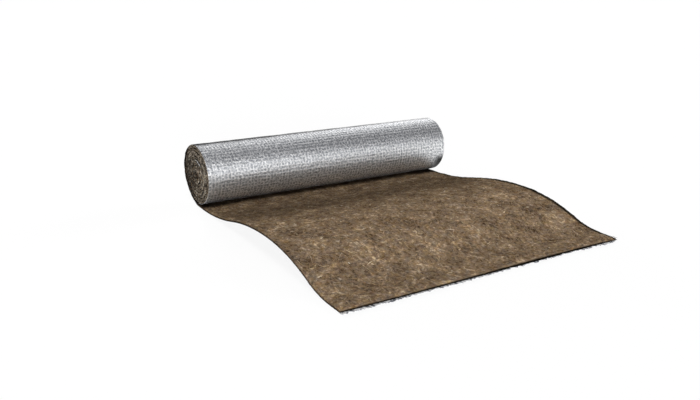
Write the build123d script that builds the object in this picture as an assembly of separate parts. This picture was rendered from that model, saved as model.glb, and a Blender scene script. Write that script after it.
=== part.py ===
from build123d import *
import os
from math import atan2, degrees, sin

# An insulation roll: a thin mat of mineral wool with a foil facing, wound up and then partly rolled out
# again over the floor. X runs along the roll, Y from the loose end back to the roll, and Z is up. The
# origin is on the floor, in the middle of the footprint. The foil is the outside of the roll and the
# underside of the part that is rolled out. Lengths are in millimetres and angles in degrees.

# The mat
mat_width = 1200.0
mat_thickness = 12.0
foil_thickness = 0.5
foil_lip = 8.0  # bare foil past the wool at the loose end

# The roll
roll_height = 259.0
eye_diameter = 12.0
turn_groove_width = 2.0
turn_groove_depth = 5.0

# The part that is rolled out: flat by the roll, up over one wave, and flat again at the loose end
flat_run_at_roll = 47.0
wave_rise_run = 615.0
wave_height = 77.0  # from the floor to the foil under the crest
wave_fall_run = 406.0
flat_run_at_end = 66.0
rise_hollow_share = 0.50  # of the two bend radii on each side of the wave, what the hollow bend takes
fall_hollow_share = 0.33

cut_overrun = 1.0

# The mat comes in under the roll, climbs its back and comes down its front until it meets itself, so each
# turn is two half circles, and the front one is half a mat thickness smaller than the back one.
half_turn = 180.0
back_radius = roll_height / 2
front_radius = back_radius - mat_thickness / 2
eye_radius = eye_diameter / 2
turn_count = int((back_radius - eye_radius) / mat_thickness)

# The footprint is centred on the origin.
rolled_out = flat_run_at_roll + wave_rise_run + wave_fall_run + flat_run_at_end
loose_end_y = -(rolled_out + back_radius) / 2
roll_y = loose_end_y + rolled_out
nip = Vector(roll_y, mat_thickness)  # where the first whole turn meets the mat under it
eye_z = (back_radius + mat_thickness + front_radius) / 2  # midway between the centres of the half circles


def wave_side(run, hollow_share):
    """The hollow radius, the crest radius and the angle of the two bends that climb the wave over a run."""
    angle = 2 * atan2(wave_height, run)
    both_radii = run / sin(angle)
    return hollow_share * both_radii, (1 - hollow_share) * both_radii, degrees(angle)


def rolled_out_course(end_run):
    """The straights and bends from the loose end to the roll. A straight has no angle."""
    fall_hollow, fall_crest, fall_angle = wave_side(wave_fall_run, fall_hollow_share)
    rise_hollow, rise_crest, rise_angle = wave_side(wave_rise_run, rise_hollow_share)
    return [
        (end_run, 0),
        (fall_hollow, fall_angle),
        (fall_crest, -fall_angle),
        (rise_crest, -rise_angle),
        (rise_hollow, rise_angle),
        (flat_run_at_roll, 0),
    ]


def turn_course(turns_in):
    """The two half circles of the turn that lies a number of turns in from the outside."""
    wound_in = turns_in * mat_thickness
    return [(back_radius - wound_in, half_turn), (front_radius - wound_in, half_turn)]


def mat_line(start, depth, course):
    """The line that runs along a course, a depth inside the outer face of the foil."""
    edges = []
    place = start + Vector(0, depth)
    heading = Vector(1, 0)
    for size, angle in course:
        if angle:
            radius = size - depth if angle > 0 else size + depth
            edge = JernArc(place, heading, radius, angle)
        else:
            edge = Line(place, place + heading * size)
        edges.append(edge)
        place = edge @ 1
        heading = edge % 1
    return edges


def strip(outer, inner):
    """The face between two such lines, closed across their ends."""
    ends = [Line(outer[0] @ 0, inner[0] @ 0), Line(outer[-1] @ 1, inner[-1] @ 1)]
    return make_face(outer + inner + ends)


def across_the_width(section):
    """A section of the mat, drawn in Y and Z, run out over the whole width."""
    return extrude(Plane.YZ * section, amount=mat_width / 2, both=True)


def make_foil_facing():
    """The foil sheet: under the part that is rolled out, and once round the roll to where it tucks in."""
    start = Vector(loose_end_y, 0)
    course = rolled_out_course(flat_run_at_end) + turn_course(0)
    return across_the_width(strip(mat_line(start, 0, course), mat_line(start, foil_thickness, course)))


def make_turn_groove(end):
    """The crease between the turns, as it winds in from the nip towards the eye on one end of the roll."""
    course = [bend for turn in range(1, turn_count) for bend in turn_course(turn)]
    half_width = turn_groove_width / 2
    crease = strip(mat_line(nip, -half_width, course), mat_line(nip, half_width, course))
    bottom = Plane.YZ.offset(end * (mat_width / 2 - turn_groove_depth))
    return extrude(bottom * crease, amount=end * (turn_groove_depth + cut_overrun))


def make_wool_mat():
    """The wool: the wound roll with its eye, and the part rolled out, which is cut back behind the foil."""
    start = Vector(loose_end_y + foil_lip, 0)
    course = rolled_out_course(flat_run_at_end - foil_lip)
    foil_side = mat_line(start, foil_thickness, course + turn_course(0))
    wool_side = mat_line(start, mat_thickness, course)
    eye = Pos(roll_y, eye_z) * Circle(eye_radius)
    wool = across_the_width(strip(foil_side, wool_side) - eye)
    for end in (-1, 1):
        wool -= make_turn_groove(end)
    return wool


os.makedirs("parts", exist_ok=True)
for node, piece in (("wool_mat", make_wool_mat()), ("foil_facing", make_foil_facing())):
    export_step(piece.solid(), f"parts/{node}.step")
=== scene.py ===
import bpy
import numpy as np
from mathutils import Matrix, Vector


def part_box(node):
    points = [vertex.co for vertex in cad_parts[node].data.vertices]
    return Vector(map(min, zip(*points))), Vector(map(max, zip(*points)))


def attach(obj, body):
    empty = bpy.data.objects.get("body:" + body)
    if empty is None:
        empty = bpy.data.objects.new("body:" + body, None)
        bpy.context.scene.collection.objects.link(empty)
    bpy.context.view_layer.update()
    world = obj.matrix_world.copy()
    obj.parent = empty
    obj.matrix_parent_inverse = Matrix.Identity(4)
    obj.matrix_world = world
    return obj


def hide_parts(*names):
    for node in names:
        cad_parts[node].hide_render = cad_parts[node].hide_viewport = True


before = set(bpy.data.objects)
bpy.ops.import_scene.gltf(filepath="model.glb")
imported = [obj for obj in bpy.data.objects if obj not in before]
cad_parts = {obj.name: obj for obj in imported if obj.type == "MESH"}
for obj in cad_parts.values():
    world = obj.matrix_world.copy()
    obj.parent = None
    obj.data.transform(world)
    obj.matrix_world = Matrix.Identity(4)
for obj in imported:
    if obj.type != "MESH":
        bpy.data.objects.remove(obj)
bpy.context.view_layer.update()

# Wool mat: glass wool in a brown binder, felted into a strip 12 mm thick and over 5 m long, and cut square at
# its edges. It is wound up with its facing outwards, and its loose end is rolled out again over one wave. It
# is one strip from the loose end to the eye of the roll, so every point is made flat first and then wound.
mm = 0.001
mat_thickness = 12 * mm
foil_thickness = 0.5 * mm
flat_run_at_roll = 47 * mm
wave_rise_run = 615 * mm
wave_height = 77 * mm
wave_fall_run = 406 * mm
flat_run_at_end = 66 * mm
rise_hollow_share = 0.50
fall_hollow_share = 0.33
turn_count = 10

foil_low, foil_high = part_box("foil_facing")
wool_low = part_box("wool_mat")[0]
half_width = foil_high.x
back_radius = foil_high.z / 2
front_radius = back_radius - mat_thickness / 2
foil_lip = wool_low.y - foil_low.y


def wave_side(run, hollow_share):
    """The hollow and the crest bend that climb the wave over a run, each as a length and a curvature."""
    angle = 2 * np.arctan2(wave_height, run)
    hollow = hollow_share * run / np.sin(angle)
    crest = (1 - hollow_share) * run / np.sin(angle)
    return (hollow * angle, 1 / hollow), (crest * angle, -1 / crest)


fall_hollow, fall_crest = wave_side(wave_fall_run, fall_hollow_share)
rise_hollow, rise_crest = wave_side(wave_rise_run, rise_hollow_share)
course = [(flat_run_at_end, 0), fall_hollow, fall_crest, rise_crest, rise_hollow, (flat_run_at_roll, 0)]
stretches_out = len(course)
rolled_out_length = sum(length for length, curvature in course)
for turn in range(turn_count):
    for radius in (back_radius - turn * mat_thickness, front_radius - turn * mat_thickness):
        course.append((np.pi * radius, 1 / radius))
mat_length = sum(length for length, curvature in course)
nip = rolled_out_length + np.pi * (back_radius + front_radius)  # where the first whole turn is closed
crown = rolled_out_length + np.pi * back_radius  # the highest point of the roll

stretch_start, stretch_y, stretch_z, stretch_heading = [0.0], [foil_low.y], [0.0], [0.0]
for length, curvature in course:
    chord = length * np.sinc(curvature * length / (2 * np.pi))
    chord_heading = stretch_heading[-1] + curvature * length / 2
    stretch_start.append(stretch_start[-1] + length)
    stretch_y.append(stretch_y[-1] + chord * np.cos(chord_heading))
    stretch_z.append(stretch_z[-1] + chord * np.sin(chord_heading))
    stretch_heading.append(stretch_heading[-1] + curvature * length)


def wind(flat):
    """Where points of the flat mat come to lie: x across, s from the loose end, d up from the foil's face."""
    x, s, d = flat.T
    on = np.clip(np.searchsorted(stretch_start, s, side="right") - 1, 0, len(course) - 1)
    curvature = np.array([c for length, c in course])[on]
    run = s - np.array(stretch_start)[on]
    heading = np.array(stretch_heading)[on]
    chord = run * np.sinc(curvature * run / (2 * np.pi))
    chord_heading = heading + curvature * run / 2
    heading = heading + curvature * run
    y = np.array(stretch_y)[on] + chord * np.cos(chord_heading) - d * np.sin(heading)
    z = np.array(stretch_z)[on] + chord * np.sin(chord_heading) + d * np.cos(heading)
    return np.stack([x, y, z], 1)


def block(x_lines, s_lines, d_lines, plain=None):
    """The closed skin of a block of flat mat, as points and faces, and which faces are its cut edges. The
    plain side, first or last of the d lines, lies against another layer and has one face for each s line."""
    shape = len(x_lines), len(s_lines), len(d_lines)
    skin = np.zeros(shape, bool)
    for axis in range(3):
        for end in (0, -1):
            skin[(slice(None),) * axis + (end,)] = True
    if plain is not None:
        skin[1:-1, 1:-1, plain] = False
    number = np.full(shape, -1)
    number[skin] = np.arange(skin.sum())
    faces, cut = [], []
    for axis in range(3):
        for end in (0, -1):
            if axis == 2 and end == plain:
                continue
            n = number.take(end, axis)
            quads = np.stack([n[:-1, :-1], n[1:, :-1], n[1:, 1:], n[:-1, 1:]], -1).reshape(-1, 4)
            outward = (end == -1) != (axis == 1)
            faces += (quads if outward else quads[:, ::-1]).tolist()
            cut += [axis != 2] * len(quads)
    if plain is not None:
        n = number[:, :, plain]
        for i in range(shape[1] - 1):
            near = n[:, 0] if i == 0 else n[[0, -1], i]
            far = n[::-1, -1] if i == shape[1] - 2 else n[[-1, 0], i + 1]
            face = near.tolist() + far.tolist()
            faces.append(face if plain == -1 else face[::-1])
            cut.append(False)
    i, j, k = np.nonzero(skin)
    return np.stack([x_lines[i], s_lines[j], d_lines[k]], 1), faces, cut


def lumps(u, v, size, seed):
    """Smooth random lumps from -1 to 1, each about one size across, at the points u, v."""
    rows, columns = 97, 89
    along, aside = 0.83, 0.56  # their rows lie at an angle to the mat, so that they don't show
    heights = np.random.default_rng(seed).uniform(-1, 1, (rows, columns))
    u, v = (u * along + v * aside) / size, (v * along - u * aside) / size
    i, j = np.floor(u).astype(int), np.floor(v).astype(int)
    a, b = u - i, v - j
    a, b = a * a * (3 - 2 * a), b * b * (3 - 2 * b)
    corner = [[heights[(i + p) % rows, (j + q) % columns] for q in (0, 1)] for p in (0, 1)]
    near = corner[0][0] * (1 - a) + corner[1][0] * a
    far = corner[0][1] * (1 - a) + corner[1][1] * a
    return near * (1 - b) + far * b


def rising(value, low, high):
    """0 below the low value, 1 above the high one, and smooth between."""
    share = np.clip((value - low) / (high - low), 0, 1)
    return share * share * (3 - 2 * share)


def give(piece, name, kind, values):
    """Gives every point of a piece a value of its own, for its material."""
    attribute = piece.data.attributes.new(name, kind, "POINT")
    attribute.data.foreach_set("vector" if kind == "FLOAT_VECTOR" else "value", np.ravel(values))


def make_piece(name, flat, moved, faces, looks, materials):
    """A smooth mesh of the wound mat. It keeps each point's place in the flat mat, for its material."""
    mesh = bpy.data.meshes.new(name)
    mesh.from_pydata(wind(moved).tolist(), [], faces)
    mesh.polygons.foreach_set("material_index", np.array(looks, np.int32))
    mesh.polygons.foreach_set("use_smooth", np.ones(len(faces), bool))
    mesh.validate()
    for material in materials:
        mesh.materials.append(material)
    piece = bpy.data.objects.new(name, mesh)
    bpy.context.scene.collection.objects.link(piece)
    give(piece, "laid_flat", "FLOAT_VECTOR", flat)
    return piece


def lines_between(low, high, step, close_to_ends):
    """Lines at an even step, with a few more close to each end."""
    even = np.linspace(low, high, int(round((high - low) / step)) + 1)[1:-1]
    near = np.array(close_to_ends)
    even = even[(even > low + near.max()) & (even < high - near.max())]
    return np.concatenate([low + near, even, high - near[::-1]])


wool_step = 5 * mm
edge_lines = np.array([0, 1.5, 4]) * mm
edge_reach = 0.1 * mm  # a point as close as this to an edge is on it
wool_clear = 0.4 * mm  # between the wool and the relief of the foil
wool_depths = np.linspace(foil_thickness + wool_clear, mat_thickness, 6)
out_x = lines_between(-half_width, half_width, wool_step, edge_lines)
out_s = lines_between(foil_lip, rolled_out_length, wool_step, edge_lines)
out_flat, out_faces, out_cut = block(out_x, out_s, wool_depths, plain=0)


def cut_askew(x, s):
    """The loose end was cut by eye: it bows out a little left of the middle and at the right-hand corner."""
    bow_mm, corner_mm, reach = 4, 9, 250 * mm
    to_the_right = (x + half_width) / (2 * half_width)
    bow = bow_mm * np.sin(np.pi * np.clip(to_the_right / 0.55, 0, 1))
    corner = corner_mm * np.clip((to_the_right - 0.75) / 0.25, 0, 1) ** 1.5
    near_the_cut = np.clip(1 - (s - foil_lip) / reach, 0, 1)
    return s - (bow + corner) * near_the_cut * mm


def strayed(x, s):
    """The knife strayed along the sides: on the left out over the wave and in at the roll, and on the right
    outwards, most of all at the loose end."""
    over_the_wave = np.exp(-((s - 430 * mm) / (230 * mm)) ** 2)
    at_the_roll = np.exp(-((s - 1200 * mm) / (120 * mm)) ** 2)
    at_the_loose_end = np.exp(-(s - foil_lip) / (30 * mm))
    left_mm = 3 * over_the_wave - 2 * at_the_roll
    right_mm = 3.5 + 8 * at_the_loose_end
    side = x / half_width
    return x + (right_mm * np.clip(side, 0, 1) ** 4 - left_mm * np.clip(-side, 0, 1) ** 4) * mm


def felted(flat):
    """The wool as it is felted: lumpy on its face, worn round at its cut edges, ragged along the cuts."""
    x, s, d = flat.T
    up = (d - wool_depths[0]) / (wool_depths[-1] - wool_depths[0])
    from_side, from_right, from_cut = half_width - abs(x), half_width - x, s - foil_lip
    height = 1.0 * lumps(x, s, 33 * mm, 1) + 0.7 * lumps(x, s, 15 * mm, 2) + 0.5 * lumps(x, s, 8 * mm, 3)
    worn = 0.8 * np.exp(-from_side / (2 * mm)) + 2.0 * np.exp(-from_cut / (5 * mm))
    worn = worn + 7.5 * np.exp(-from_right / (35 * mm) - from_cut / (45 * mm))  # worn thin at one corner
    loose = np.clip((rolled_out_length - s) / (60 * mm), 0, 1)  # pressed flatter under the roll
    s_cut = cut_askew(x, s)
    d = d + up * (height * (0.25 + 0.75 * loose) - worn - 0.6) * mm
    ragged = (0.8 * lumps(s, d, 11 * mm, 4) + 0.6 * lumps(s, d, 5 * mm, 5) - 0.6 * (2 * up - 1) ** 2) * mm
    x = strayed(x, s) + np.where(abs(x) > half_width - edge_reach, np.sign(x) * ragged, 0)
    torn = (1.1 * lumps(x, d, 14 * mm, 6) + 0.8 * lumps(x, d, 6 * mm, 7)) * mm
    s = s_cut + np.where(s < foil_lip + edge_reach, torn, 0)
    return np.stack([x, s, d], 1)


wound_near_end = np.array([0, 1.5, 4, 12, 60]) * mm
wound_x = np.concatenate([-half_width + wound_near_end, half_width - wound_near_end[::-1]])
wound_step = 5 * mm
wound_s = np.linspace(rolled_out_length, mat_length, int((mat_length - rolled_out_length) / wound_step))
wound_clear = 0.1 * mm  # between the wool and the next turn
wound_depths = np.linspace(wool_depths[0], mat_thickness - wound_clear, 7)
wound_flat, wound_faces = block(wound_x, wound_s, wound_depths)[:2]
end_reach = 6 * mm  # how far in from the ends of the roll its turns swell and its foil is drawn in


def round_the_roll(s):
    """How far round the outer turn a point lies, in radians: 0 underneath, about half a turn at the top."""
    return (s - rolled_out_length) / (nip - rolled_out_length) * 2 * np.pi


def pushed_over(x, s):
    """The roll was pushed over as it was wound: its left end leans out at the back and in at the front."""
    started = np.clip(round_the_roll(s) / (np.pi / 3), 0, 1)
    lean_mm = 1.5 - 5.5 * np.sin(round_the_roll(s) - np.pi / 6)
    return strayed(x, s) + lean_mm * started * (0.6 - 0.4 * x / half_width) * mm


def slack(x, s):
    """How far the outer turn lies loose over the top of the roll, more so towards its right-hand end."""
    most = 5 * mm
    over_the_top = np.clip(-np.cos(round_the_roll(s)), 0, 1)
    return most * over_the_top * (0.5 + 0.5 * x / half_width) * ((s > rolled_out_length) & (s < nip))


def at_the_ends(x):
    """1 on the ends of the roll, and 0 from a short reach inwards."""
    return np.clip(1 - (half_width - abs(x)) / end_reach, 0, 1)


def telescoped(s):
    """How many millimetres the turns stand out of the roll's ends, or lie in, from place to place."""
    return 1.6 * lumps(s, 0 * s, 170 * mm, 8)


def wound_up(flat):
    """The wool of the turns: each turn swells out at the roll's ends and is drawn in along the foil."""
    x, s, d = flat.T
    up = (d - wound_depths[0]) / (wound_depths[-1] - wound_depths[0])
    drawn_in = 3.2 * abs(2 * up - 1) ** 3
    round_the_back = (s - rolled_out_length) / (crown - rolled_out_length)
    pushed_out = telescoped(s) + 2.5 * np.clip(1 - abs(round_the_back - 0.55) / 0.45, 0, 1) ** 0.7
    ragged = 1.0 * lumps(s, d, 9 * mm, 9) + 0.8 * lumps(s, d, 4 * mm, 10)
    out_mm = at_the_ends(x) * (0.4 + pushed_out + ragged - drawn_in)
    return np.stack([pushed_over(x, s) + np.sign(x) * out_mm * mm, s, d - slack(x, s)], 1)


def linear(hex_colour):
    """An sRGB hex colour as the linear colour that a shader takes."""
    shares = [int(hex_colour[i : i + 2], 16) / 255 for i in (1, 3, 5)]
    return tuple(c / 12.92 if c <= 0.04045 else ((c + 0.055) / 1.055) ** 2.4 for c in shares) + (1.0,)


def add(tree, kind, inputs=None, stops=None, **settings):
    """Adds a node with its settings. Its inputs are values or sockets to link from, and a ramp has stops."""
    node = tree.nodes.new(kind)
    for name, value in settings.items():
        setattr(node, name, value)
    for place, value in (inputs or {}).items():
        if isinstance(value, bpy.types.NodeSocket):
            tree.links.new(value, node.inputs[place])
        else:
            node.inputs[place].default_value = value
    if stops:
        ramp = node.color_ramp.elements
        while len(ramp) < len(stops):
            ramp.new(1.0)
        for element, (place, colour) in zip(ramp, stops):
            element.position, element.color = place, colour
    return node


def start_material(name):
    """A new material, with its node tree and its shader."""
    material = bpy.data.materials.new(name)
    material.use_nodes = True
    return material, material.node_tree, material.node_tree.nodes["Principled BSDF"]


def flat_place(tree):
    """A point's place in the flat mat, in millimetres."""
    place = add(tree, "ShaderNodeAttribute", attribute_name="laid_flat")
    in_mm = add(tree, "ShaderNodeVectorMath", {0: place.outputs["Vector"], "Scale": 1 / mm},
                operation="SCALE")
    return in_mm.outputs[0]


def with_painted_dark(tree, colour, dark_colour):
    """A colour darkened towards a dark one as far as each point of a piece was given: painted shade and a
    dark band on the wool, painted dark reflections on the foil.
    """
    painted_dark = add(tree, "ShaderNodeAttribute", attribute_name="painted_dark")
    mixed = add(tree, "ShaderNodeMix",
                {"Factor": painted_dark.outputs["Fac"], "A": colour, "B": linear(dark_colour)}, data_type="RGBA")
    return mixed.outputs["Result"]


def varied(tree, colour, place, size):
    """A brown that is greyer in some places and warmer in others, each about one size across."""
    noise = add(tree, "ShaderNodeTexNoise",
                {"Vector": place, "Scale": 1 / size, "Detail": 3.0, "Roughness": 0.6})
    chance = add(tree, "ShaderNodeSeparateColor", {0: noise.outputs["Color"]})
    spread = []
    for channel, low, high in ((0, 0.62, 1.38), (1, 0.48, 0.52)):
        spread.append(add(tree, "ShaderNodeMapRange",
                          {"Value": chance.outputs[channel], "From Min": 0.2, "From Max": 0.8,
                           "To Min": low, "To Max": high}))
    warmth, hue = spread
    return add(tree, "ShaderNodeHueSaturation",
               {"Hue": hue.outputs[0], "Saturation": warmth.outputs[0], "Color": colour}).outputs[0]


# Glass wool, felted: short fibres lie in the plane of the mat in clumps that point every way. The eye sees
# straw-coloured and dark brown clumps 10 to 40 mm long, broad paler patches, and no shine at all. Single
# fibres are too fine to show, so the clumps are drawn instead.
clump_mm, small_clump_mm, patch_mm, tint_mm, sway_mm = 42.0, 20.0, 80.0, 18.0, 9.0
wool_roughness, wool_shine = 0.95, 0.0
# The near-black that painted shade, and the dark band along the right side, darken the wool towards.
wool_painted_dark = "#0b0907"


def wool_material(name, dark, middle, light, pale, patchy, spread):
    """The felted wool in four browns, from the shade between the clumps to the straw of the loose ones.
    Patchy is the share of the broad patches in it, and more of it is dark or pale as the spread grows."""
    material, tree, shader = start_material(name)
    in_mm = flat_place(tree)
    sway = add(tree, "ShaderNodeTexNoise", {"Vector": in_mm, "Scale": 1 / clump_mm, "Detail": 2.0})
    swayed = add(tree, "ShaderNodeVectorMath",
                 {0: sway.outputs["Color"], 1: (sway_mm, sway_mm, 0.0), 2: in_mm}, operation="MULTIPLY_ADD")
    clumps = []
    for size, long, wide, thick in ((clump_mm, 22.0, 11.0, 2.5), (small_clump_mm, 10.0, 5.0, 1.5)):
        cells = add(tree, "ShaderNodeTexVoronoi", {"Vector": swayed.outputs[0], "Scale": 1 / size})
        chance = add(tree, "ShaderNodeSeparateColor", {0: cells.outputs["Color"]})
        angle = add(tree, "ShaderNodeMath", {0: chance.outputs[0], 1: 2 * np.pi}, operation="MULTIPLY")
        turned = add(tree, "ShaderNodeVectorRotate",
                     {"Vector": swayed.outputs[0], "Angle": angle.outputs[0]}, rotation_type="Z_AXIS")
        drawn = add(tree, "ShaderNodeVectorMath",
                    {0: turned.outputs[0], 1: (1 / long, 1 / wide, 1 / thick)}, operation="MULTIPLY")
        clumps.append(add(tree, "ShaderNodeTexNoise",
                          {"Vector": drawn.outputs[0], "Scale": 1.0, "Detail": 5.0, "Roughness": 0.55}))
    patches = add(tree, "ShaderNodeTexNoise",
                  {"Vector": in_mm, "Scale": 1 / patch_mm, "Detail": 3.0, "Roughness": 0.6})
    both = add(tree, "ShaderNodeMix",
               {"Factor": 0.4, "A": clumps[0].outputs["Fac"], "B": clumps[1].outputs["Fac"]})
    tone = add(tree, "ShaderNodeMix", {"Factor": patchy, "A": both.outputs[0], "B": patches.outputs["Fac"]})
    browns = add(tree, "ShaderNodeValToRGB", {"Fac": tone.outputs[0]},
                 stops=[(0.5 + (place - 0.5) / spread, linear(colour)) for place, colour in
                        ((0.36, dark), (0.47, middle), (0.55, light), (0.66, pale))])
    tinted = varied(tree, browns.outputs["Color"], swayed.outputs[0], tint_mm)
    relief = add(tree, "ShaderNodeBump", {"Height": both.outputs[0], "Strength": 1.0, "Distance": 3.0 * mm})
    tree.links.new(with_painted_dark(tree, tinted, wool_painted_dark), shader.inputs["Base Color"])
    tree.links.new(relief.outputs["Normal"], shader.inputs["Normal"])
    shader.inputs["Roughness"].default_value = wool_roughness
    shader.inputs["Specular IOR Level"].default_value = wool_shine
    return material


felted_wool = wool_material("felted_glass_wool", "#382d22", "#6a5948", "#87735c", "#c4ad8e", 0.34, 1.25)
# Glass wool where a knife cut the mat: layers of fibre seen from their fresh, pale ends.
cut_wool = wool_material("knife_cut_glass_wool", "#3a2f24", "#6e5e4c", "#8a765f", "#b8a184", 0.3, 1.0)
# The same cut across the turns of the roll, pressed flat and rubbed, with more dark and pale in it, and
# greyer as a painted cool shade.
wound_wool = wool_material("wound_glass_wool", "#1a1714", "#433d36", "#675f54", "#a69c8e", 0.1, 1.9)


def crease_shade_and_dark_hem(x, s):
    """How dark the face of the mat is painted: a dark band along its right side, and painted shade in the
    crease under the roll.
    """
    hem_width = (17 + 16 * np.exp(-((s - 560 * mm) / (280 * mm)) ** 2)) * mm
    hem = 0.92 * rising(x, half_width - hem_width, half_width - 0.65 * hem_width)
    towards_an_end = rising(abs(x), half_width - 200 * mm, half_width - 20 * mm)
    crease_start = rolled_out_length - (42 + 12 * towards_an_end) * mm
    crease_shade = (0.80 + 0.15 * towards_an_end) * rising(s, crease_start - 44 * mm, crease_start)
    return np.maximum(hem, crease_shade)


# On the part that is rolled out, shade is painted on the lower layers of its cut edges next to the foil, and
# on the cut at its end.
x, s, d = out_flat.T
lower_cut_shade = 0.95 * (1 - rising(d, 6.8 * mm, 8.8 * mm))
end_cut_shade = 0.4 * (s < foil_lip + edge_reach)
out_painted_dark = np.max([lower_cut_shade, end_cut_shade, crease_shade_and_dark_hem(x, s)], 0)

# On the ends of the roll, shade is painted on the back of the two outer turns, on the back half of the turns
# inside them, near the rim at the front, and in the eye.
s = wound_flat[:, 1]
wound_moved = wound_up(wound_flat)
outer_back_shade = 1 - rising(s, crown - 110 * mm, crown - 20 * mm)
next_back_shade = rising(s, nip + 40 * mm, nip + 90 * mm) * (1 - rising(s, nip + 210 * mm, nip + 260 * mm))
roll_y = stretch_y[stretches_out]
eye_z = back_radius + mat_thickness / 4
back, above = wind(wound_moved)[:, 1] - roll_y, wind(wound_moved)[:, 2] - eye_z
off_eye = np.hypot(back, above)
to_the_back = (0.985 * back - 0.174 * above) / off_eye  # along a line 10 degrees below level
back_half_shade = 0.74 * rising(to_the_back, 0.3, 0.9) * rising(off_eye, 4 * mm, 20 * mm)
to_the_front = (0.26 * above - 0.97 * back) / off_eye  # along a line 15 degrees above level
near_the_rim = rising(off_eye, 72 * mm, 92 * mm) * (1 - rising(off_eye, 112 * mm, 118 * mm))
front_rim_shade = 0.45 * rising(to_the_front, 0.6, 0.9) * near_the_rim
eye_shade = 1 - rising(np.hypot(back + 6 * mm, above + 3 * mm), 15 * mm, 20 * mm)
wound_painted_dark = np.max([0.97 * outer_back_shade, 0.9 * next_back_shade, back_half_shade, front_rim_shade, 0.97 * eye_shade], 0)

flat = np.concatenate([out_flat, wound_flat])
moved = np.concatenate([felted(out_flat), wound_moved])
faces = out_faces + [[v + len(out_flat) for v in face] for face in wound_faces]
looks = [int(c) for c in out_cut] + [2] * len(wound_faces)
wool_mat = make_piece("wool_mat_felted", flat, moved, faces, looks, [felted_wool, cut_wool, wound_wool])
give(wool_mat, "painted_dark", "FLOAT", np.concatenate([out_painted_dark, wound_painted_dark]))
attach(wool_mat, "root")
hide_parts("wool_mat")

# Wool tufts: loose locks of the same wool, lifted out of the mat's face and pressed back on it, and strands
# between them. Each is a spindle of fibres, thicker in the middle and bowed to one side.
lock_count, pale_count, strand_count = 6000, 45, 10000
lock_lift = 0.1 * mm
rng = np.random.default_rng(40)
spindle_points = 11  # a tip, three rings of three points, and the other tip


def spindles(x, s, d, turn, dip, length, width, height, bow):
    """Closed three-sided spindles in the flat mat, as points, faces and each point's place in its own
    spindle. Each is turned in the plane of the mat from x towards s, rises or dips, and bows to the side."""
    along = np.array([-0.5] + [-0.3] * 3 + [0.0] * 3 + [0.3] * 3 + [0.5])
    swell = np.array([0] + [0.75] * 3 + [1.0] * 3 + [0.7] * 3 + [0])
    corner = np.radians([0] + [90, 210, 330] * 3 + [0])
    a = length[:, None] * along
    b = width[:, None] / 2 * swell * np.cos(corner)
    c = height[:, None] / 2 * swell * np.sin(corner)
    own = np.stack([a + s[:, None], b + x[:, None], c], -1)
    b = b + bow[:, None] * (4 * along ** 2 - 0.5)
    c = c + (dip * length)[:, None] * along
    cos, sin = np.cos(turn)[:, None], np.sin(turn)[:, None]
    points = np.stack([x[:, None] + a * cos - b * sin, s[:, None] + a * sin + b * cos, d[:, None] + c], -1)
    one = []
    for j in range(3):
        n = (j + 1) % 3
        one.append([0, 1 + n, 1 + j])
        one += [[k + j, k + n, k + 3 + n, k + 3 + j] for k in (1, 4)]
        one.append([7 + j, 7 + n, 10])
    faces = [[v + spindle_points * i for v in face] for i in range(len(x)) for face in one]
    return points.reshape(-1, 3), faces, own.reshape(-1, 3)


# Glass wool in locks: the same browns as the face, each lock in one shade, from dark to straw and a few pale,
# and drawn into strands along its length. A strand stands for many fibres, which are too fine to show.
strand_long, strand_wide = 12 * mm, 0.8 * mm
lock_material, tree, shader = start_material("glass_wool_locks")
place = add(tree, "ShaderNodeAttribute", attribute_name="in_the_lock")
drawn = add(tree, "ShaderNodeVectorMath",
            {0: place.outputs["Vector"], 1: (1 / strand_long, 1 / strand_wide, 1 / strand_wide)},
            operation="MULTIPLY")
strands = add(tree, "ShaderNodeTexNoise", {"Vector": drawn.outputs[0], "Scale": 1.0, "Detail": 3.0})
own = add(tree, "ShaderNodeAttribute", attribute_name="tone")
tone = add(tree, "ShaderNodeMix", {"Factor": 0.35, "A": own.outputs["Fac"], "B": strands.outputs["Fac"]})
browns = add(tree, "ShaderNodeValToRGB", {"Fac": tone.outputs[0]},
             stops=((0.15, linear("#30271e")), (0.42, linear("#6b5947")), (0.62, linear("#8f795f")),
                    (0.80, linear("#b59f81")), (0.92, linear("#ddd0b8"))))
tinted = varied(tree, browns.outputs["Color"], place.outputs["Vector"], tint_mm * mm)
relief = add(tree, "ShaderNodeBump",
             {"Height": strands.outputs["Fac"], "Strength": 1.0, "Distance": 0.6 * mm})
tree.links.new(with_painted_dark(tree, tinted, wool_painted_dark), shader.inputs["Base Color"])
tree.links.new(relief.outputs["Normal"], shader.inputs["Normal"])
shader.inputs["Roughness"].default_value = wool_roughness
shader.inputs["Specular IOR Level"].default_value = wool_shine


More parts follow.
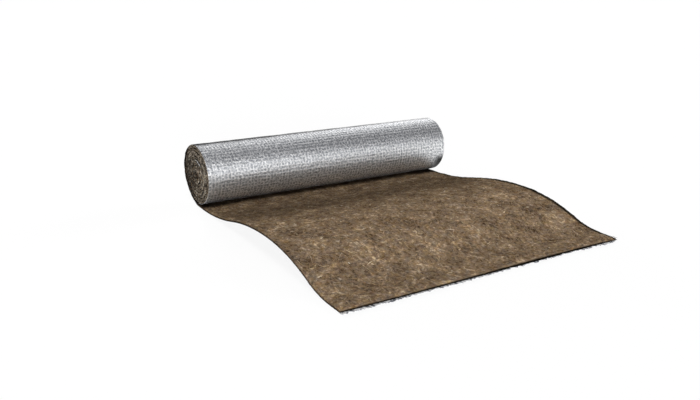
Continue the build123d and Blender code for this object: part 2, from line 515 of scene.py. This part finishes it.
def scatter(name, count, long, wide, high, bowed, tones):
    """Spindles strewn over the face of the mat that is rolled out. Long, wide and high are in millimetres."""
    x = rng.uniform(-half_width + 9 * mm, half_width - 22 * mm, count)
    s = rng.uniform(foil_lip + 9 * mm, rolled_out_length - 25 * mm, count)
    on_face = np.stack([x, s, np.full(count, mat_thickness)], 1)
    length = np.clip(rng.lognormal(np.log(long), 0.4, count), long / 2, long * 2) * mm
    turn = rng.uniform(0, np.pi, count)
    dip = rng.uniform(-0.04, 0.04, count)
    width = rng.uniform(*wide, count) * mm
    height = rng.uniform(*high, count) * mm
    bow = rng.normal(0, bowed, count) * length
    d = felted(on_face)[:, 2] + lock_lift
    flat, faces, own = spindles(x, s, d, turn, dip, length, width, height, bow)
    moved = flat.copy()
    moved[:, 0] = strayed(flat[:, 0], flat[:, 1])
    moved[:, 1] = cut_askew(flat[:, 0], flat[:, 1])
    piece = make_piece(name, flat, moved, faces, [0] * len(faces), [lock_material])
    give(piece, "in_the_lock", "FLOAT_VECTOR", own)
    give(piece, "tone", "FLOAT", np.repeat(tones, spindle_points))
    # The locks are darkened like the face they lie on: painted shade in the crease under the roll, and a dark
    # band along the right side.
    give(piece, "painted_dark", "FLOAT", crease_shade_and_dark_hem(flat[:, 0], flat[:, 1]))
    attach(piece, "root")


pale_few = 0.25 * (rng.uniform(0, 1, lock_count) > 0.97)
scatter("wool_tufts", lock_count, 19, (2.0, 5.5), (1.0, 1.8), 0.05,
        np.clip(rng.normal(0.5, 0.17, lock_count) + pale_few, 0, 1.1))
scatter("pale_tufts", pale_count, 24, (4.0, 8.0), (1.2, 2.0), 0.12, rng.uniform(0.9, 1.1, pale_count))
scatter("wool_strands", strand_count, 24, (0.8, 1.8), (0.8, 1.3), 0.10,
        np.clip(rng.normal(0.55, 0.2, strand_count), 0, 1))

# Loose fibres: ends of the wool that stand out of the cuts, along the sides of the mat and on both ends of
# the roll, where every turn is cut across. Most lie along the cut. Real ones are too thin to show, so they
# are drawn thicker.
fibre_count = 5000
at_roll = rng.uniform(0, 1, fibre_count) < 0.6
fibre_s = np.where(at_roll, rng.uniform(rolled_out_length, mat_length, fibre_count),
                   rng.uniform(foil_lip, rolled_out_length, fibre_count))
fibre_side = rng.choice([-1, 1], fibre_count)
fibre_x = fibre_side * (half_width + rng.uniform(-0.5, 0.8, fibre_count) * mm)
fibre_d = rng.uniform(3.0, 9.5, fibre_count) * mm
fibre_turn = rng.normal(np.pi / 2, 0.35, fibre_count)
fibre_dip = rng.uniform(-0.35, 0.35, fibre_count)
fibre_length = rng.uniform(6, 14, fibre_count) * mm
fibre_width = rng.uniform(0.35, 0.7, fibre_count) * mm
fibre_height = rng.uniform(0.35, 0.7, fibre_count) * mm
fibre_bow = rng.normal(0, 1.2, fibre_count) * mm
fibre_flat, fibre_faces, fibre_own = spindles(
    fibre_x, fibre_s, fibre_d, fibre_turn, fibre_dip, fibre_length, fibre_width, fibre_height, fibre_bow)
x, s = fibre_flat[:, 0], fibre_flat[:, 1]
fibre_moved = fibre_flat.copy()
fibre_moved[:, 0] = np.where(s > rolled_out_length, pushed_over(x, s), strayed(x, s))
fibre_moved[:, 1] = cut_askew(x, s)
loose_fibres = make_piece("loose_fibres", fibre_flat, fibre_moved, fibre_faces, [0] * len(fibre_faces),
                          [lock_material])
give(loose_fibres, "in_the_lock", "FLOAT_VECTOR", fibre_own)
fibre_tones = np.where(at_roll, 0.42, 0.2) + rng.normal(0, 0.15, fibre_count)
in_the_dark = (fibre_s < crown - 100 * mm) | (fibre_s > mat_length - 110 * mm)  # at the back and in the eye
# Fibres at the back of the roll and in its eye are darkened as painted shade.
fibre_tones = np.clip(fibre_tones - 0.35 * (at_roll & in_the_dark), 0, 1)
give(loose_fibres, "tone", "FLOAT", np.repeat(fibre_tones, spindle_points))
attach(loose_fibres, "root")

# Foil facing: aluminium foil over a scrim of glass threads, laminated and bonded to one side of the wool. It
# is the outside of the roll, runs on between the turns, and lies under the part that is rolled out. At the
# loose end it stands out past the wool by a few millimetres, torn into tongues that curl up.
meshes_across = 84
scrim_pitch = 2 * half_width / meshes_across
lap_step = scrim_pitch / 4
lap_count = int((nip - rolled_out_length) / lap_step)
lip_step, lip_reach = 2 * mm, foil_lip + 2 * mm
under_step, under_count = 16 * mm, 110
inner_step = 6 * mm
foil_depths = np.array([0, foil_thickness])
foil_blocks = [
    block(lines_between(-half_width, half_width, lip_step, np.array([0, 1]) * mm),
          np.linspace(0, lip_reach, 6), foil_depths),
    block(lines_between(-half_width, half_width, under_step, np.array([0, 2]) * mm),
          np.linspace(lip_reach, rolled_out_length, under_count), foil_depths, plain=-1),
    block(lines_between(-half_width, half_width, lap_step, np.array([0, 0.3]) * mm),
          rolled_out_length + lap_step * np.arange(lap_count + 1), foil_depths, plain=-1),
    block(np.array([-half_width, end_reach - half_width, half_width - end_reach, half_width]),
          np.arange(nip, mat_length, inner_step), foil_depths),
]


def torn(flat):
    """The bare lip of foil at the loose end, torn back in places and curled up between."""
    x, s, d = flat.T
    free = np.clip(1 - s / foil_lip, 0, 1)
    back_mm = np.clip(-5.0 + 5.0 * lumps(x, 0 * x, 14 * mm, 23) + 3.5 * lumps(x, 0 * x, 6 * mm, 24), -10, 4)
    curl_mm = np.clip(0.8 + 1.6 * lumps(x, 0 * x, 19 * mm, 26) + 1.4 * lumps(x, 0 * x, 7 * mm, 27), 0.1, 4)
    return np.stack([x, cut_askew(x, s) + free * back_mm * mm, d + free ** 1.5 * curl_mm * mm], 1)


def laminated(flat):
    """The foil over its scrim: a pillow in each mesh, and soft dents as deep as the wool lets them be. The
    side that lies on the wool stays plain."""
    x, s, d = flat.T
    deepest, plain_side = 0.65, 0.3
    wave_x = np.cos(2 * np.pi * (x + half_width) / scrim_pitch)
    wave_s = np.cos(2 * np.pi * (s - rolled_out_length) / scrim_pitch)
    on_roll = np.clip((s - rolled_out_length) / (40 * mm), 0, 1)
    before_nip = np.clip((nip - s) / (20 * mm), 0, 1)
    uneven = 1 + 0.5 * lumps(x, s, 19 * mm, 28)
    pillow = 0.13 * (wave_x + wave_s) * uneven
    dents = 0.40 * lumps(x, s, 46 * mm, 21) + 0.35 * lumps(x, s, 19 * mm, 22)
    dents = dents + 0.35 * lumps(x / 4, s, 16 * mm, 29)
    relief_mm = np.where(d < foil_thickness / 2, np.minimum(pillow + dents, deepest), plain_side)
    d = d + relief_mm * on_roll * before_nip * mm - slack(x, s)
    under_the_wool = 1 - 0.002 * np.clip((rolled_out_length - s) / (100 * mm), 0, 1)
    x = np.where(s > rolled_out_length, pushed_over(x, s), strayed(x, s) * under_the_wool)
    return np.stack([x, cut_askew(x, s), d], 1)


def tucked_in(flat):
    """The foil between the turns, drawn in behind the wool at the roll's ends, least of all at the top of
    the sixth turn, where it shows."""
    x, s, d = flat.T
    shows = stretch_start[stretches_out + 11] + 22 * mm
    out_mm = telescoped(s) + 1.4 * lumps(s, 0 * s, 34 * mm, 25) - 7.5
    out_mm = out_mm + 5.5 * np.exp(-((s - shows) / (30 * mm)) ** 2)
    return np.stack([pushed_over(x, s) + np.sign(x) * at_the_ends(x) * out_mm * mm, s, d], 1)


# Aluminium foil, rolled bright and laminated over glass scrim: a clean metal mirror broken into a square net,
# so that the eye sees soft bands of light along the roll with a sparkle in every mesh. The ridges over the
# threads are too fine to show, so they are drawn wider.
ridge_mm, crinkle_mm, tarnish_mm, wander_mm, wander_size_mm = 2.6, 9.0, 45.0, 4.0, 60.0
foil_material, tree, shader = start_material("scrim_laminated_aluminium_foil")
in_mm = flat_place(tree)
wander = add(tree, "ShaderNodeTexNoise", {"Vector": in_mm, "Scale": 1 / wander_size_mm, "Detail": 1.0})
wandered = add(tree, "ShaderNodeVectorMath",
               {0: wander.outputs["Color"], 1: (wander_mm, wander_mm, 0.0), 2: in_mm},
               operation="MULTIPLY_ADD")
across = add(tree, "ShaderNodeSeparateXYZ", {0: wandered.outputs[0]})
ridges = []
for axis in ("X", "Y"):
    off_thread = add(tree, "ShaderNodeMath",
                     {0: across.outputs[axis], 1: scrim_pitch / mm / 2}, operation="PINGPONG")
    ridges.append(add(tree, "ShaderNodeMapRange",
                      {"Value": off_thread.outputs[0], "From Min": 0.3 * ridge_mm, "From Max": 1.2 * ridge_mm,
                       "To Min": 1.0, "To Max": 0.0}, interpolation_type="SMOOTHSTEP"))
scrim = add(tree, "ShaderNodeMath", {0: ridges[0].outputs[0], 1: ridges[1].outputs[0]}, operation="MAXIMUM")
crinkle = add(tree, "ShaderNodeTexNoise",
              {"Vector": in_mm, "Scale": 1 / crinkle_mm, "Detail": 2.0, "Roughness": 0.6})
pressed = add(tree, "ShaderNodeMath", {0: scrim.outputs[0], 1: 0.2}, operation="MULTIPLY")
height = add(tree, "ShaderNodeMath", {0: crinkle.outputs["Fac"], 1: 1.1, 2: pressed.outputs[0]},
             operation="MULTIPLY_ADD")
rubbed = add(tree, "ShaderNodeAttribute", attribute_name="rubbed")
relief_kept = add(tree, "ShaderNodeMapRange", {"Value": rubbed.outputs["Fac"], "To Min": 1.0, "To Max": 0.6})
height = add(tree, "ShaderNodeMath", {0: height.outputs[0], 1: relief_kept.outputs[0]}, operation="MULTIPLY")
relief = add(tree, "ShaderNodeBump", {"Height": height.outputs[0], "Strength": 1.0, "Distance": 1.6 * mm})
tarnish = add(tree, "ShaderNodeTexNoise", {"Vector": in_mm, "Scale": 1 / tarnish_mm, "Detail": 4.0})
# The silver is lighter over the crinkles and a little over the threads: a painted sparkle.
painted_sparkle = add(tree, "ShaderNodeMath", {0: scrim.outputs[0], 1: 0.12, 2: crinkle.outputs["Fac"]},
           operation="MULTIPLY_ADD")
silver_with_painted_sparkle = add(tree, "ShaderNodeValToRGB", {"Fac": painted_sparkle.outputs[0]},
             stops=((0.38, linear("#96999e")), (0.53, linear("#cbcdd0")), (0.70, linear("#ffffff"))))
dull = add(tree, "ShaderNodeMapRange", {"Value": tarnish.outputs["Fac"], "To Min": 0.16, "To Max": 0.28})
rough = add(tree, "ShaderNodeMath", {0: rubbed.outputs["Fac"], 1: 0.25, 2: dull.outputs[0]},
            operation="MULTIPLY_ADD")
# Where a dark reflection is painted, the foil is darkened towards near-black.
tree.links.new(with_painted_dark(tree, silver_with_painted_sparkle.outputs["Color"], "#1c1b1a"), shader.inputs["Base Color"])
tree.links.new(rough.outputs[0], shader.inputs["Roughness"])
tree.links.new(relief.outputs["Normal"], shader.inputs["Normal"])
shader.inputs["Metallic"].default_value = 0.96  # the rest is a matt haze of lacquer and dust

# The same foil where it was torn: crumpled small, with the white film that it is laminated to showing
# through, so that it is matt, and grey and white by turns.
crumple_mm = 9.0
torn_foil, tree, shader = start_material("torn_crumpled_aluminium_foil")
crumples = add(tree, "ShaderNodeTexNoise",
               {"Vector": flat_place(tree), "Scale": 1 / crumple_mm, "Detail": 2.0})
greys = add(tree, "ShaderNodeValToRGB", {"Fac": crumples.outputs["Fac"]},
            stops=((0.41, linear("#74777e")), (0.47, linear("#bfc1c6")), (0.52, linear("#ececee")),
                   (0.60, linear("#ffffff"))))
relief = add(tree, "ShaderNodeBump",
             {"Height": crumples.outputs["Fac"], "Strength": 1.0, "Distance": 2.0 * mm})
tree.links.new(greys.outputs["Color"], shader.inputs["Base Color"])
tree.links.new(relief.outputs["Normal"], shader.inputs["Normal"])
shader.inputs["Metallic"].default_value = 0.3
shader.inputs["Roughness"].default_value = 0.55

flat, moved, faces = [], [], []
for (points, block_faces, cut), shape in zip(foil_blocks, (torn, laminated, laminated, tucked_in)):
    faces += [[v + sum(len(p) for p in flat) for v in face] for face in block_faces]
    flat.append(points)
    moved.append(shape(points))
looks = [1 if i < len(foil_blocks[0][1]) else 0 for i in range(len(faces))]
flat = np.concatenate(flat)
foil_facing = make_piece("foil_facing_laminate", flat, np.concatenate(moved), faces, looks,
                         [foil_material, torn_foil])

# A dark reflection is painted in a strip along the top of the roll, just behind its highest line, and on its
# right-hand end low down at the front. The lower front is rubbed matt and a little flatter.
x, s = flat[:, 0], flat[:, 1]
top_dark_reflection = rising(crown - s, -14 * mm, 4 * mm) * (1 - rising(crown - s, 38 * mm, 100 * mm))
top_dark_reflection = top_dark_reflection * (0.85 + 0.15 * lumps(x, s, 60 * mm, 30))
down_the_front = (s - crown) / (np.pi * front_radius) * (s < nip)
right_end_dark_reflection = rising(x, half_width - 70 * mm, half_width - 16 * mm) * rising(down_the_front, 0.53, 0.64)
give(foil_facing, "painted_dark", "FLOAT", np.maximum(0.95 * top_dark_reflection, 0.98 * right_end_dark_reflection))
give(foil_facing, "rubbed", "FLOAT", rising(down_the_front, 0.30, 0.48))
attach(foil_facing, "root")
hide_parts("foil_facing")

# Floor: a pale matt floor that the roll lies on, large enough to fill the view. To the camera and in the foil
# it is mostly plain white, as a floor cut out of a catalogue picture is, and it keeps a part of the shadow.
floor_reach = 60.0
floor_gap = 0.2 * mm  # below the foil, so that the two don't flicker
white_share = 0.88
floor_mesh = bpy.data.meshes.new("floor")
corners = [(-floor_reach, -floor_reach, 0), (floor_reach, -floor_reach, 0), (floor_reach, floor_reach, 0),
           (-floor_reach, floor_reach, 0)]
floor_mesh.from_pydata(corners, [], [(0, 1, 2, 3)])
# Matt white paint, rolled on: no shine, so that the eye sees only white and a soft shadow.
floor_paint, tree, shader = start_material("matt_white_floor")
floor_paint.cycles.emission_sampling = "NONE"
shader.inputs["Base Color"].default_value = linear("#fafafa")
shader.inputs["Roughness"].default_value = 1.0
shader.inputs["Specular IOR Level"].default_value = 0.0


def seen_straight(tree):
    """1 for a ray from the camera, also by way of metal or glass, and 0 for one that lights matt surfaces."""
    path = add(tree, "ShaderNodeLightPath")
    seen = path.outputs["Is Camera Ray"]
    for kind in ("Is Glossy Ray", "Is Transmission Ray"):
        seen = add(tree, "ShaderNodeMath", {0: seen, 1: path.outputs[kind]}, operation="MAXIMUM").outputs[0]
    unlit = add(tree, "ShaderNodeMath", {0: path.outputs["Diffuse Depth"], 1: 0.5}, operation="LESS_THAN")
    return add(tree, "ShaderNodeMath", {0: seen, 1: unlit.outputs[0]}, operation="MULTIPLY").outputs[0]


plain_white = add(tree, "ShaderNodeEmission", {"Color": linear("#ffffff"), "Strength": 1.0})
share = add(tree, "ShaderNodeMath", {0: seen_straight(tree), 1: white_share}, operation="MULTIPLY")
surface = add(tree, "ShaderNodeMixShader",
              {0: share.outputs[0], 1: shader.outputs[0], 2: plain_white.outputs[0]})
tree.links.new(surface.outputs[0], tree.nodes["Material Output"].inputs["Surface"])
floor_mesh.materials.append(floor_paint)
floor = bpy.data.objects.new("floor", floor_mesh)
floor.location.z = -floor_gap
bpy.context.scene.collection.objects.link(floor)

# Studio light: soft lamps in front, overhead, to the right and behind light the wool. The walls of the studio
# are what the foil shows: a dim ceiling, a glow on the front wall round the front lamp, and a back wall that
# is bright to the right and dark low down to the left.
dim_ceiling = Vector((0.60, -0.245, 0.76)).normalized()
front_glow = Vector((-0.340, -0.932, 0.122)).normalized()
fill_strength = 0.02  # what the walls add to the lamps on the wool
world = bpy.data.worlds.new("studio")
bpy.context.scene.world = world
world.use_nodes = True
tree = world.node_tree
tree.nodes.clear()
direction = add(tree, "ShaderNodeTexCoord").outputs["Generated"]
apart = add(tree, "ShaderNodeSeparateXYZ", {0: direction})
to_dim = add(tree, "ShaderNodeVectorMath", {0: direction, 1: tuple(dim_ceiling)}, operation="DOT_PRODUCT")
walls = add(tree, "ShaderNodeValToRGB", {"Fac": to_dim.outputs["Value"]},
            stops=((0.45, linear("#e4e4e5")), (0.66, linear("#d6d6d7")), (0.80, linear("#bababb")),
                   (0.95, linear("#a0a0a2")), (1.0, linear("#7a7a7c"))))
low_down = add(tree, "ShaderNodeMapRange",
               {"Value": apart.outputs["Z"], "From Min": 0.30, "From Max": 0.52,
                "To Min": 1.0, "To Max": 0.0}, interpolation_type="SMOOTHSTEP")
to_the_left = add(tree, "ShaderNodeMapRange",
                  {"Value": apart.outputs["X"], "From Min": 0.36, "From Max": 0.58,
                   "To Min": 1.0, "To Max": 0.0}, interpolation_type="SMOOTHSTEP")
behind = add(tree, "ShaderNodeMath", {0: apart.outputs["Y"], 1: 0.3}, operation="GREATER_THAN")
dark_corner = low_down
for limit in (to_the_left, behind):
    dark_corner = add(tree, "ShaderNodeMath", {0: dark_corner.outputs[0], 1: limit.outputs[0]},
                      operation="MULTIPLY")
walls = add(tree, "ShaderNodeMix",
            {"Factor": dark_corner.outputs[0], "A": walls.outputs["Color"], "B": linear("#08090a")},
            data_type="RGBA")
things = add(tree, "ShaderNodeTexNoise", {"Vector": direction, "Scale": 6.0, "Detail": 2.0})
shades = add(tree, "ShaderNodeMapRange",
             {"Value": things.outputs["Fac"], "From Min": 0.40, "From Max": 0.58,
              "To Min": 0.5, "To Max": 1.4})
on_the_back = add(tree, "ShaderNodeMapRange",
                  {"Value": apart.outputs["Y"], "From Min": 0.05, "From Max": 0.5},
                  interpolation_type="SMOOTHSTEP")
to_the_right = add(tree, "ShaderNodeMapRange",
                   {"Value": apart.outputs["X"], "From Min": 0.30, "From Max": 0.60, "To Max": 0.75},
                   interpolation_type="SMOOTHSTEP")
back_wall = add(tree, "ShaderNodeMath", {0: on_the_back.outputs[0], 1: to_the_right.outputs[0], 2: 1.0},
                operation="MULTIPLY_ADD")
bright = add(tree, "ShaderNodeMath", {0: shades.outputs[0], 1: back_wall.outputs[0]}, operation="MULTIPLY")
to_lamp = add(tree, "ShaderNodeVectorMath", {0: direction, 1: tuple(front_glow)}, operation="DOT_PRODUCT")
for start, full, strength in ((0.35, 1.0, 0.5), (0.60, 1.0, 0.6), (0.82, 0.99, 0.8)):
    glow = add(tree, "ShaderNodeMapRange",
               {"Value": to_lamp.outputs["Value"], "From Min": start, "From Max": full, "To Max": strength},
               interpolation_type="SMOOTHSTEP")
    bright = add(tree, "ShaderNodeMath", {0: bright.outputs[0], 1: glow.outputs[0]}, operation="ADD")
seen = add(tree, "ShaderNodeBackground", {"Color": walls.outputs["Result"], "Strength": bright.outputs[0]})
fill = add(tree, "ShaderNodeBackground", {"Color": linear("#ffffff"), "Strength": fill_strength})
mixed = add(tree, "ShaderNodeMixShader", {0: seen_straight(tree), 1: fill.outputs[0], 2: seen.outputs[0]})
# The camera itself sees plain white past the edge of the floor, and the foil shows the walls.
backdrop = add(tree, "ShaderNodeBackground", {"Color": linear("#ffffff"), "Strength": 1.0})
path = add(tree, "ShaderNodeLightPath")
shown = add(tree, "ShaderNodeMixShader",
            {0: path.outputs["Is Camera Ray"], 1: mixed.outputs[0], 2: backdrop.outputs[0]})
add(tree, "ShaderNodeOutputWorld", {"Surface": shown.outputs[0]})


def soft_lamp(name, azimuth, elevation, spread, strength):
    """A far soft lamp for the matt surfaces, at degrees from +Y towards +X. It doesn't show in the foil."""
    data = bpy.data.lights.new(name, "SUN")
    data.angle, data.energy = np.radians(spread), strength
    around, up = np.radians([azimuth, elevation])
    towards = Vector((np.sin(around) * np.cos(up), np.cos(around) * np.cos(up), np.sin(up)))
    lamp = bpy.data.objects.new(name, data)
    lamp.rotation_euler = (-towards).to_track_quat("-Z", "Y").to_euler()
    lamp.visible_glossy = False
    bpy.context.scene.collection.objects.link(lamp)


soft_lamp("front_lamp", 200, 6, 20, 5.1)
soft_lamp("high_lamp", 200, 60, 20, 1.2)
soft_lamp("right_lamp", 90, 20, 20, 0.9)
soft_lamp("back_lamp", 0, 17, 25, 4.9)

# Camera: the photograph's camera, fitted to the outline of the roll and the mat. It is set by where it
# stands, the way it looks and its small tilt.
lens_px, image_width_px = 703.9, 700.0
heading, pitch, tilt = np.radians([32.653, 17.628, 1.158])
stand = Vector((-1.5641, -2.1720, 0.9205))
forward = Vector((np.sin(heading) * np.cos(pitch), np.cos(heading) * np.cos(pitch), -np.sin(pitch)))
level_right = Vector((np.cos(heading), -np.sin(heading), 0))
level_up = level_right.cross(forward)
right = level_right * np.cos(tilt) + level_up * np.sin(tilt)
up = level_up * np.cos(tilt) - level_right * np.sin(tilt)
camera_data = bpy.data.cameras.new("camera")
camera_data.lens = lens_px / image_width_px * camera_data.sensor_width
camera_data.clip_end = 4 * floor_reach
camera = bpy.data.objects.new("camera", camera_data)
camera.matrix_world = Matrix.Translation(stand) @ Matrix((right, up, -forward)).transposed().to_4x4()
bpy.context.scene.collection.objects.link(camera)
bpy.context.scene.camera = camera
bpy.context.scene.view_settings.view_transform = "Standard"
